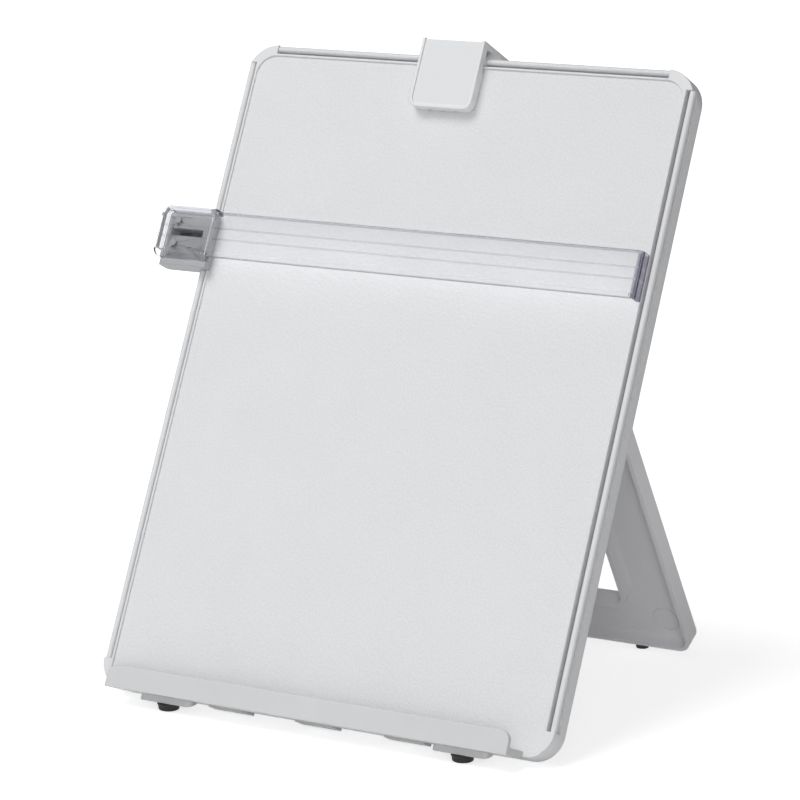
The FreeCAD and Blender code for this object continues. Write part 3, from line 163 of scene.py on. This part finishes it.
def grain_group():
    """Fine moulded grain: normals, a mottle between 0 and 1, and a roughness around a middle."""
    tree, calls, given, out = group(
        "moulded grain",
        [("Grain", FLOAT, 1500.0), ("Depth", FLOAT, 0.00002), ("Rough", FLOAT, 0.5),
         ("Edge", FLOAT, 0.0003)],
        [("Normal", VECTOR), ("Mottle", FLOAT), ("Roughness", FLOAT), ("Edge mask", FLOAT)])
    coordinates = calls.node("ShaderNodeTexCoord").outputs["Object"]
    fine = calls.node("ShaderNodeTexNoise", {"Vector": coordinates, "Scale": given.outputs["Grain"],
                                             "Detail": 3.0, "Roughness": 0.6})
    pits = calls.node("ShaderNodeTexVoronoi", {"Vector": coordinates,
                                               "Scale": given.outputs["Grain"]})
    cloud = calls.node("ShaderNodeTexNoise", {"Vector": coordinates, "Scale": CLOUD_SCALE,
                                              "Detail": 4.0, "Roughness": 0.65})
    edge = calls.node("ShaderNodeBevel", {"Radius": given.outputs["Edge"]}, samples=4)
    flat = calls.node("ShaderNodeNewGeometry").outputs["Normal"]
    turn = calls.node("ShaderNodeVectorMath", {0: edge.outputs[0], 1: flat},
                      operation="DOT_PRODUCT").outputs["Value"]
    height = calls.math("ADD", fine.outputs["Fac"],
                        calls.math("MULTIPLY", pits.outputs["Distance"], PIT_SHARE))
    bump = calls.node("ShaderNodeBump", {"Height": height, "Distance": given.outputs["Depth"],
                                         "Normal": edge.outputs[0]})
    calls.feed(out.inputs["Normal"], bump.outputs["Normal"])
    calls.feed(out.inputs["Mottle"], calls.remap(cloud.outputs["Fac"], 0.3, 0.7, 0.0, 1.0))
    spread = calls.remap(cloud.outputs["Fac"], 0.25, 0.75, -0.06, 0.06)
    calls.feed(out.inputs["Roughness"], calls.math("ADD", given.outputs["Rough"], spread))
    calls.feed(out.inputs["Edge mask"], calls.remap(turn, *EDGE_TURN, 0.0, 1.0))
    return tree


def drawn_metal_group():
    """Fine lines along one direction, as drawn or rolled metal has."""
    tree, calls, given, out = group(
        "drawn metal", [("Stretch", VECTOR, (20.0, 2500.0, 2500.0)), ("Rough", FLOAT, 0.3)],
        [("Normal", VECTOR), ("Streaks", FLOAT), ("Roughness", FLOAT)])
    coordinates = calls.node("ShaderNodeTexCoord").outputs["Object"]
    stretched = calls.node("ShaderNodeVectorMath", {0: coordinates, 1: given.outputs["Stretch"]},
                           operation="MULTIPLY").outputs[0]
    lines = calls.node("ShaderNodeTexNoise", {"Vector": stretched, "Scale": 1.0, "Detail": 3.0})
    bump = calls.node("ShaderNodeBump", {"Height": lines.outputs["Fac"],
                                         "Distance": METAL_LINE_DEPTH})
    calls.feed(out.inputs["Normal"], bump.outputs["Normal"])
    calls.feed(out.inputs["Streaks"], lines.outputs["Fac"])
    spread = calls.remap(lines.outputs["Fac"], 0.3, 0.7, -0.08, 0.1)
    calls.feed(out.inputs["Roughness"], calls.math("ADD", given.outputs["Rough"], spread))
    return tree


def shared(name, maker):
    """One copy of a shared node group."""
    return bpy.data.node_groups.get(name) or maker()


def new_material(name):
    material = bpy.data.materials.new(name)
    material.use_nodes = True
    calls = Tree(material.node_tree)
    shader = calls.node("ShaderNodeBsdfPrincipled")
    output = calls.node("ShaderNodeOutputMaterial")
    calls.feed(output.inputs["Surface"], shader.outputs["BSDF"])
    return material, calls, shader


def tint(colour, share):
    """A colour made lighter or darker by a share."""
    return tuple(min(1.0, part * share) for part in colour[:3]) + (1.0,)


def grain_node(calls, grain, depth, rough, edge):
    made = calls.node("ShaderNodeGroup", node_tree=shared("moulded grain", grain_group))
    for name, value in (("Grain", grain), ("Depth", depth), ("Rough", rough), ("Edge", edge)):
        made.inputs[name].default_value = value
    return made


# Roughness that a rounded edge loses, painted shade on a sunk plate, length over which a mask
# fades, refraction of the plastics, and scale of the usual grain
EDGE_POLISH = 0.12
SUNK_SHADE_SHARE = 0.93
MASK_FADE = 0.0001
PLASTIC_INDEX = 1.48
ACRYLIC_INDEX = 1.49
GRAIN_SCALE = 1500.0


def plastic(name, colour, rough, grain=GRAIN_SCALE, depth=0.000012, edge=0.00035,
            edge_highlight_share=1.07, sunk=None):
    """Moulded plastic with fine grain, a faint mottle and smoother edges with a painted highlight.

    What lies inside the two corners of sunk, in the board's frame, is a little darker: painted
    shade.
    """
    material, calls, shader = new_material(name)
    surface = grain_node(calls, grain, depth, rough, edge)
    body = calls.ramp(surface.outputs["Mottle"], [(0.0, tint(colour, 0.98)),
                                                  (1.0, tint(colour, 1.02))])
    if sunk:
        body = darker_inside(calls, body, tint(colour, SUNK_SHADE_SHARE), *sunk)
    # Painted highlight: the colour is lightened along rounded edges
    edge_highlit = calls.mix(surface.outputs["Edge mask"], body, tint(colour, edge_highlight_share))
    calls.feed(shader.inputs["Base Color"], edge_highlit)
    polish = calls.math("MULTIPLY", surface.outputs["Edge mask"], EDGE_POLISH)
    softer = calls.math("SUBTRACT", surface.outputs["Roughness"], polish)
    calls.feed(shader.inputs["Roughness"], softer)
    calls.feed(shader.inputs["Normal"], surface.outputs["Normal"])
    shader.inputs["IOR"].default_value = PLASTIC_INDEX
    return material


def darker_inside(calls, body, dark, low, high):
    """Mix in a darker colour, as painted shade, inside a box of the board's frame."""
    place = calls.node("ShaderNodeGroup", node_tree=shared("board place", board_place_group))
    split = calls.node("ShaderNodeSeparateXYZ", {"Vector": place.outputs["Place"]})
    inside = 1.0
    for axis, (start, end) in zip("XYZ", zip(low, high)):
        for limit, far in ((start, start + MASK_FADE), (end, end - MASK_FADE)):
            inside = calls.math("MULTIPLY", inside,
                                calls.remap(split.outputs[axis], limit, far, 0.0, 1.0))
    return calls.mix(inside, body, dark)


# Stretch of the lines on rolled leaf springs
ALONG_X = (30.0, 2500.0, 2500.0)


def metal(name, colour, rough, stretch):
    """Drawn or rolled metal with fine lines along one direction."""
    material, calls, shader = new_material(name)
    surface = calls.node("ShaderNodeGroup", node_tree=shared("drawn metal", drawn_metal_group))
    surface.inputs["Stretch"].default_value = stretch
    surface.inputs["Rough"].default_value = rough
    body = calls.ramp(surface.outputs["Streaks"], [(0.3, tint(colour, 0.8)),
                                                   (0.7, tint(colour, 1.1))])
    calls.feed(shader.inputs["Base Color"], body)
    calls.feed(shader.inputs["Roughness"], surface.outputs["Roughness"])
    calls.feed(shader.inputs["Normal"], surface.outputs["Normal"])
    shader.inputs["Metallic"].default_value = 1.0
    return material


def dress(node_name, material):
    """Put one material in every slot of a solid."""
    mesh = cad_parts[node_name].data
    mesh.materials.clear()
    mesh.materials.append(material)


def add_mesh(name, vertices, faces, material, body, crease=35.0):
    """A new piece from arrays of vertices and faces, riding on a body of the frame."""
    mesh = bpy.data.meshes.new(name)
    mesh.from_pydata([tuple(map(float, vertex)) for vertex in vertices], [], faces)
    mesh.validate()
    mesh.polygons.foreach_set("use_smooth", [True] * len(mesh.polygons))
    mesh.set_sharp_from_angle(angle=math.radians(crease))
    mesh.materials.append(material)
    item = bpy.data.objects.new(name, mesh)
    bpy.context.scene.collection.objects.link(item)
    if body:
        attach(item, body)
    return item


def ring_faces(rings, around):
    """Quads between rings of vertices that follow each other."""
    faces = []
    for ring in range(rings - 1):
        for step in range(around):
            after = (step + 1) % around
            low, high = ring * around, (ring + 1) * around
            faces.append((low + step, low + after, high + after, high + step))
    return faces


# Settings

class BoardSettings(bpy.types.PropertyGroup):
    field: bpy.props.FloatVectorProperty(
        name="Board colour", description="Colour of the moulded board, ledge and clip",
        default=(0.77, 0.777, 0.79), size=3, min=0, max=1, subtype="COLOR")
    leg: bpy.props.FloatVectorProperty(
        name="Leg colour", description="Colour of the easel leg",
        default=(0.84, 0.84, 0.86), size=3, min=0, max=1, subtype="COLOR")
    grain: bpy.props.FloatProperty(
        name="Grain depth", description="Depth of the fine texture on the field",
        default=0.00016, min=0, max=0.0005, subtype="DISTANCE", unit="LENGTH")


class GuideSettings(bpy.types.PropertyGroup):
    clear: bpy.props.FloatVectorProperty(
        name="Clear colour", description="Tint of the clear line guide",
        default=(0.985, 0.985, 0.992), size=3, min=0, max=1, subtype="COLOR")
    # The end wall's colour is painted shade: the clear edge seen edge on looks dark
    end: bpy.props.FloatVectorProperty(
        name="End wall colour", description="Tint of the guide's end wall, seen edge on",
        default=(0.30, 0.285, 0.36), size=3, min=0, max=1, subtype="COLOR")
    slider: bpy.props.FloatVectorProperty(
        name="Slider colour", description="Colour of the slider behind the clear head",
        default=(0.40, 0.405, 0.42), size=3, min=0, max=1, subtype="COLOR")


class SmallPartSettings(bpy.types.PropertyGroup):
    rubber: bpy.props.FloatVectorProperty(
        name="Rubber colour", description="Colour of the feet",
        default=(0.012, 0.012, 0.013), size=3, min=0, max=1, subtype="COLOR")
    steel: bpy.props.FloatVectorProperty(
        name="Steel colour", description="Colour of the pins and screws",
        default=(0.55, 0.56, 0.58), size=3, min=0, max=1, subtype="COLOR")


class StageSettings(bpy.types.PropertyGroup):
    key_power: bpy.props.FloatProperty(
        name="Key light", description="Strength of the soft light from above", default=1.62,
        min=0, max=20)
    key_angle: bpy.props.FloatProperty(
        name="Key size", description="Angle that the soft light takes up",
        default=math.radians(34), min=0, max=math.pi, subtype="ANGLE", unit="ROTATION")
    fill_power: bpy.props.FloatProperty(
        name="Fill light", description="Strength of the soft light from the front", default=0.90,
        min=0, max=20)
    sky: bpy.props.FloatProperty(
        name="Sky", description="Strength of the even light from all sides", default=0.26,
        min=0, max=5)
    floor_size: bpy.props.FloatProperty(
        name="Floor size", description="Length of the floor's sides", default=8.0, min=1, max=40,
        subtype="DISTANCE", unit="LENGTH")


class HolderSettings(bpy.types.PropertyGroup):
    board: bpy.props.PointerProperty(type=BoardSettings)
    guide: bpy.props.PointerProperty(type=GuideSettings)
    small: bpy.props.PointerProperty(type=SmallPartSettings)
    stage: bpy.props.PointerProperty(type=StageSettings)


# Board, ledge and leg

# Where the textured field fades out: towards the rims, in front of its plane and behind it
RIM_INNER, RIM_OUTER = 0.0060, 0.0052
FIELD_FRONT = (-0.0006, -0.0003)
FIELD_BACK = (-0.0003, 0.0004)
LEATHER_SCALE = 620.0
SPECKLE_SCALE = 1150.0
FIELD_ROUGHER = 0.16


def board_material(colour, depth):
    """The board's plastic: a textured field inside smooth rims."""
    material, calls, shader = new_material("board plastic")
    surface = grain_node(calls, GRAIN_SCALE, 0.000008, 0.46, 0.0004)
    place = calls.node("ShaderNodeGroup", node_tree=shared("board place", board_place_group))
    split = calls.node("ShaderNodeSeparateXYZ", {"Vector": place.outputs["Place"]})
    half_width = (BOARD_HIGH.x - BOARD_LOW.x) / 2
    side = calls.remap(calls.math("ABSOLUTE", split.outputs["X"]), half_width - RIM_INNER,
                       half_width - RIM_OUTER, 1.0, 0.0)
    ahead = calls.remap(split.outputs["Y"], *FIELD_BACK, 1.0, 0.0)
    behind = calls.remap(split.outputs["Y"], *FIELD_FRONT, 0.0, 1.0)
    field = calls.math("MULTIPLY", side, calls.math("MULTIPLY", ahead, behind))
    leather = calls.node("ShaderNodeTexVoronoi", {"Vector": place.outputs["Place"],
                                                  "Scale": LEATHER_SCALE},
                         feature="SMOOTH_F1")
    speckle = calls.node("ShaderNodeTexNoise", {"Vector": place.outputs["Place"],
                                                "Scale": SPECKLE_SCALE, "Detail": 2.0})
    height = calls.math("MULTIPLY", field,
                        calls.math("ADD", leather.outputs["Distance"], speckle.outputs["Fac"]))
    bump = calls.node("ShaderNodeBump", {"Height": height, "Distance": depth,
                                         "Normal": surface.outputs["Normal"]})
    even = calls.remap(surface.outputs["Mottle"], 0.0, 1.0, 0.5, 0.75)
    spots = calls.remap(speckle.outputs["Fac"], 0.38, 0.62, -0.8, 0.4)
    shade = calls.math("ADD", even, calls.math("MULTIPLY", field, spots))
    body = calls.ramp(shade, [(0.0, tint(colour, 0.93)), (1.0, tint(colour, 1.02))])
    calls.feed(shader.inputs["Base Color"], body)
    rough = calls.math("ADD", surface.outputs["Roughness"],
                       calls.math("MULTIPLY", field, FIELD_ROUGHER))
    calls.feed(shader.inputs["Roughness"], rough)
    calls.feed(shader.inputs["Normal"], bump.outputs["Normal"])
    return material


# Tones of the ledge, the clip and its carriage as shares of the board's colour
LEDGE_SHARE, CLIP_SHARE, CARRIAGE_SHARE = 0.83, 1.07, 0.9


class HOLDER_OT_board(bpy.types.Operator):
    """Give the board, ledge and leg their moulded plastic"""
    bl_idname = "copy_holder.board"
    bl_label = "Board, Ledge and Leg"

    def execute(self, context):
        chosen = settings().board
        colour = tuple(chosen.field)
        dress("back_board", board_material(colour, chosen.grain))
        dress("paper_ledge", plastic("ledge plastic", tint(colour, LEDGE_SHARE), 0.42))
        dress("easel_leg", plastic("leg plastic", tuple(chosen.leg), 0.44))
        return {"FINISHED"}


# Corners of the clip's sunk plate, inside its raised border, which gets painted shade
CLIP_SHADED_PLATE = ((-0.0214, -0.0051, 0.2835), (0.0080, -0.0035, 0.3200))


class HOLDER_OT_clip(bpy.types.Operator):
    """Give the clip, its carriage and its spring their materials"""
    bl_idname = "copy_holder.clip"
    bl_label = "Clip"

    def execute(self, context):
        colour = tuple(settings().board.field)
        # The clip's edges get a strong painted highlight
        dress("clip_lever", plastic("clip plastic", tint(colour, CLIP_SHARE), 0.38, edge=0.0009,
                                    edge_highlight_share=1.25, sunk=CLIP_SHADED_PLATE))
        dress("clip_carriage", plastic("carriage plastic", tint(colour, CARRIAGE_SHARE), 0.5))
        dress("clip_spring", metal("clip spring steel", (0.35, 0.35, 0.36), 0.3, ALONG_X))
        return {"FINISHED"}


# Line guide

# Places on the board, in its own frame: the right end of the guide, how far in the end wall's
# painted shade begins and is full, the end of the head, the top edge, and two lines with painted
# shade
GUIDE_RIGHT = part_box("guide_bar")[1].x - BOARD_ORIGIN.x
END_WALL_SHADE = (0.0024, 0.00192)
HEAD_END = (-0.1076, -0.1080)
TOP_EDGE = (0.2216, 0.2219)
SHADED_LINES = (0.2152, 0.2100)
LINE_REACH = (0.0003, 0.0002)
LINE_SHADE_SHARE = 0.8
HEAD_TINT = (0.91, 0.912, 0.93)
EDGE_SHADE = (0.66, 0.66, 0.71)
THROUGH_TINT = (0.93, 0.93, 0.94, 1.0)


def clear_material(colour, dark):
    """Clear moulded acrylic with faint flow lines, and painted shade at its end wall, top edge and
    two lines.

    Light from the lamps passes straight through it, so that it casts only a faint shadow.
    """
    material, calls, shader = new_material("clear plastic")
    surface = grain_node(calls, 900.0, 0.000004, 0.07, 0.0003)
    body = calls.ramp(surface.outputs["Mottle"], [(0.0, tint(colour, 0.985)),
                                                  (1.0, tint(colour, 1.0))])
    place = calls.node("ShaderNodeGroup", node_tree=shared("board place", board_place_group))
    split = calls.node("ShaderNodeSeparateXYZ", {"Vector": place.outputs["Place"]})
    across, up = split.outputs["X"], split.outputs["Z"]
    # Painted shade on the end wall, the top edge and two lines, and a grey tint on the head
    masks = [(calls.remap(across, *(GUIDE_RIGHT - inset for inset in END_WALL_SHADE), 0.0, 1.0), dark),
             (calls.remap(across, *HEAD_END, 0.0, 1.0), HEAD_TINT),
             (calls.remap(up, *TOP_EDGE, 0.0, 1.0), EDGE_SHADE)]
    masks += [(calls.remap(calls.math("ABSOLUTE", calls.math("SUBTRACT", up, line)),
                           *LINE_REACH, 0.0, LINE_SHADE_SHARE), EDGE_SHADE) for line in SHADED_LINES]
    for mask, shade in masks:
        body = calls.mix(mask, body, tint(shade, 1.0))
    calls.feed(shader.inputs["Base Color"], body)
    low = calls.remap(surface.outputs["Roughness"], 0.0, 0.2, 0.02, 0.12)
    calls.feed(shader.inputs["Roughness"], low)
    calls.feed(shader.inputs["Normal"], surface.outputs["Normal"])
    shader.inputs["IOR"].default_value = ACRYLIC_INDEX
    shader.inputs["Transmission Weight"].default_value = 1.0
    through = calls.node("ShaderNodeBsdfTransparent", {"Color": THROUGH_TINT})
    path = calls.node("ShaderNodeLightPath")
    both = calls.node("ShaderNodeMixShader", {"Fac": path.outputs["Is Shadow Ray"]})
    calls.feed(both.inputs[1], shader.outputs["BSDF"])
    calls.feed(both.inputs[2], through.outputs["BSDF"])
    output = next(node for node in calls.tree.nodes if node.type == "OUTPUT_MATERIAL")
    calls.feed(output.inputs["Surface"], both.outputs["Shader"])
    return material


class HOLDER_OT_guide(bpy.types.Operator):
    """Give the line guide, its slider and its small parts their materials"""
    bl_idname = "copy_holder.guide"
    bl_label = "Line Guide"

    def execute(self, context):
        chosen = settings().guide
        slider = tuple(chosen.slider)
        dress("guide_bar", clear_material(tuple(chosen.clear), tuple(chosen.end)))
        dress("slider_body", plastic("slider plastic", slider, 0.4))
        dress("slider_keeper", plastic("keeper plastic", tint(slider, 0.95), 0.42))
        dress("slider_spring", metal("slider spring steel", (0.2, 0.2, 0.21), 0.3, ALONG_X))
        dress("guide_pins", plastic("pin plastic", (0.34, 0.345, 0.36), 0.35))
        return {"FINISHED"}


# Feet and fasteners

# Shares of a foot's radius and height, from its tread to its top, and its fine flutes
FOOT_SHARES = [(0.70, 0.0), (0.80, 0.02), (0.87, 0.10), (0.90, 0.30), (0.93, 0.62), (0.965, 0.69),
               (0.995, 0.74), (1.0, 0.82), (1.0, 0.96), (0.985, 1.0)]
FOOT_STEPS = 56
FLUTES = 14
FLUTE_SHARE = 0.012


def turned_foot(node_name, material, body):
    """A rubber foot turned from a rounded profile, inside the box of its solid."""
    low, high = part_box(node_name)
    centre = (low + high) / 2
    radius = (high.x - low.x) / 2
    angles = np.linspace(0.0, 2.0 * math.pi, FOOT_STEPS, endpoint=False)
    vertices = []
    for share, level in FOOT_SHARES:
        ripple = 1.0 - FLUTE_SHARE * (1.0 + np.cos(angles * FLUTES)) * (0.2 < level < 0.7)
        reach = radius * share * ripple
        height = low.z + (high.z - low.z) * level
        vertices += [(centre.x + r * math.cos(a), centre.y + r * math.sin(a), height)
                     for r, a in zip(reach, angles)]
    rings = len(FOOT_SHARES)
    faces = ring_faces(rings, FOOT_STEPS)
    faces.append(tuple(range(FOOT_STEPS - 1, -1, -1)))
    faces.append(tuple((rings - 1) * FOOT_STEPS + step for step in range(FOOT_STEPS)))
    foot = add_mesh(node_name + "_turned", vertices, faces, material, body)
    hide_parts(node_name)
    return foot


class HOLDER_OT_feet(bpy.types.Operator):
    """Turn the front feet, and give the feet, pins and screws their materials"""
    bl_idname = "copy_holder.feet"
    bl_label = "Feet and Fasteners"

    def execute(self, context):
        chosen = settings().small
        rubber = plastic("foot rubber", tuple(chosen.rubber), 0.62, grain=2600.0, depth=0.00003)
        for side in ("left", "right"):
            turned_foot("front_foot_" + side, rubber, "board")
            dress("rear_foot_" + side, rubber)
        steel = tuple(chosen.steel)
        pins = metal("pin steel", steel, 0.25, (25.0, 2600.0, 2600.0))
        dress("leg_pin_left", pins)
        dress("leg_pin_right", pins)
        screws = metal("screw steel", steel, 0.3, (1600.0, 1600.0, 300.0))
        dress("ledge_screws", screws)
        dress("slider_screws", screws)
        return {"FINISHED"}


# Floor, lights and camera

# Place of the camera from the board's lower front edge, and its own three directions
EYE = Vector((0.769146, -1.245118, 0.445330))
EYE_RIGHT = Vector((0.8637, 0.5040, 0.0))
EYE_UP = Vector((-0.102108, 0.174885, 0.979280))
EYE_BACK = Vector((0.493497, -0.845842, 0.202512))

# Sensor and lens of the camera, in millimetres
SENSOR = 36.0
LENS = 157.477
NEAR_CLIP, FAR_CLIP = 0.05, 50.0
WHITE = (1.0, 1.0, 1.0, 1.0)

# Direction towards the soft light from above
KEY_FROM = Vector((-0.25, -0.45, 0.857))

# The dark card stands upright at the right, out of the camera's sight
CARD_X = 0.9
CARD_NEAR, CARD_FAR = -0.9, 1.8
CARD_LOW, CARD_HIGH = 0.3, 1.6

# How much light the floor returns where the camera sees it, and its own glow there
FLOOR_GAIN = 0.75
FLOOR_GLOW = 0.70


def floor_material():
    """Matt pale floor. What the camera sees of it is white, and darker only in the shadows."""
    material, calls, shader = new_material("studio floor")
    path = calls.node("ShaderNodeLightPath")
    seen = calls.math("MAXIMUM", path.outputs["Is Camera Ray"],
                      calls.math("MAXIMUM", path.outputs["Is Glossy Ray"],
                                 path.outputs["Is Transmission Ray"]))
    coordinates = calls.node("ShaderNodeTexCoord").outputs["Object"]
    paper = calls.node("ShaderNodeTexNoise", {"Vector": coordinates, "Scale": 3.0, "Detail": 3.0})
    plain = calls.ramp(paper.outputs["Fac"], [(0.3, (0.79, 0.79, 0.79, 1.0)),
                                              (0.7, (0.81, 0.81, 0.81, 1.0))])
    shown = calls.mix(seen, plain, (FLOOR_GAIN, FLOOR_GAIN, FLOOR_GAIN, 1.0))
    calls.feed(shader.inputs["Base Color"], shown)
    calls.feed(shader.inputs["Emission Color"], WHITE)
    calls.feed(shader.inputs["Emission Strength"], calls.math("MULTIPLY", seen, FLOOR_GLOW))
    calls.feed(shader.inputs["Roughness"], calls.remap(paper.outputs["Fac"], 0.3, 0.7, 0.96, 1.0))
    shader.inputs["Specular IOR Level"].default_value = 0.0
    return material


def soft_light(name, towards, angle, strength):
    """Even light from one side of the sky, with soft shadows."""
    data = bpy.data.lights.new(name, "SUN")
    data.energy = strength
    data.angle = angle
    light = bpy.data.objects.new(name, data)
    light.rotation_euler = (-towards).to_track_quat("-Z", "Y").to_euler()
    light.visible_transmission = False
    bpy.context.scene.collection.objects.link(light)
    return light


class HOLDER_OT_stage(bpy.types.Operator):
    """Lay the floor, set the light and place the camera"""
    bl_idname = "copy_holder.stage"
    bl_label = "Stage"

    def execute(self, context):
        chosen = settings().stage
        scene = context.scene
        half = chosen.floor_size / 2
        corners = [(-half, -half, 0), (half, -half, 0), (half, half, 0), (-half, half, 0)]
        floor = add_mesh("floor", corners, [(0, 1, 2, 3)], floor_material(), None)
        upright = [(CARD_X, CARD_NEAR, CARD_LOW), (CARD_X, CARD_FAR, CARD_LOW),
                   (CARD_X, CARD_FAR, CARD_HIGH), (CARD_X, CARD_NEAR, CARD_HIGH)]
        card = add_mesh("dark card", upright, [(0, 1, 2, 3)],
                        plastic("card paper", (0.05, 0.05, 0.055), 0.9), None)
        card.visible_camera = False
        world = bpy.data.worlds.new("studio")
        scene.world = world
        world.use_nodes = True
        calls = Tree(world.node_tree)
        path = calls.node("ShaderNodeLightPath")
        level = calls.remap(path.outputs["Is Camera Ray"], 0.0, 1.0, chosen.sky, 1.0)
        sky = calls.node("ShaderNodeBackground", {"Strength": level})
        calls.feed(calls.node("ShaderNodeOutputWorld").inputs["Surface"],
                   sky.outputs["Background"])
        sky.inputs["Color"].default_value = WHITE
        soft_light("key", KEY_FROM, chosen.key_angle, chosen.key_power)
        soft_light("fill", EYE_BACK, chosen.key_angle, chosen.fill_power)
        data = bpy.data.cameras.new("camera")
        data.sensor_width = SENSOR
        data.lens = LENS
        data.clip_start = NEAR_CLIP
        data.clip_end = FAR_CLIP
        camera = bpy.data.objects.new("camera", data)
        columns = Matrix((EYE_RIGHT, EYE_UP, EYE_BACK)).transposed()
        camera.matrix_world = Matrix.Translation(EYE + BOARD_ORIGIN) @ columns.to_4x4()
        scene.collection.objects.link(camera)
        scene.camera = camera
        scene.view_settings.view_transform = "Standard"
        return {"FINISHED"}


class HOLDER_PT_panel(bpy.types.Panel):
    """Shows the settings of the copy holder and the buttons that dress it"""
    bl_idname = "HOLDER_PT_panel"
    bl_label = "Copy Holder"
    bl_space_type = "VIEW_3D"
    bl_region_type = "UI"
    bl_category = "Copy Holder"

    def draw(self, context):
        chosen = context.scene.copy_holder
        for part in (chosen.board, chosen.guide, chosen.small, chosen.stage):
            box = self.layout.box()
            for name in part.__annotations__:
                box.prop(part, name)
        for operator in OPERATORS:
            self.layout.operator(operator.bl_idname)


OPERATORS = (HOLDER_OT_board, HOLDER_OT_clip, HOLDER_OT_guide, HOLDER_OT_feet, HOLDER_OT_stage)
CLASSES = (BoardSettings, GuideSettings, SmallPartSettings, StageSettings, HolderSettings,
           *OPERATORS, HOLDER_PT_panel)


def register():
    for item in CLASSES:
        bpy.utils.register_class(item)
    bpy.types.Scene.copy_holder = bpy.props.PointerProperty(type=HolderSettings)


def unregister():
    del bpy.types.Scene.copy_holder
    for item in reversed(CLASSES):
        bpy.utils.unregister_class(item)


def main():
    """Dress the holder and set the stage."""
    register()
    for name in ("board", "clip", "guide", "feet", "stage"):
        getattr(bpy.ops.copy_holder, name)()


if __name__ == "__main__":
    main()
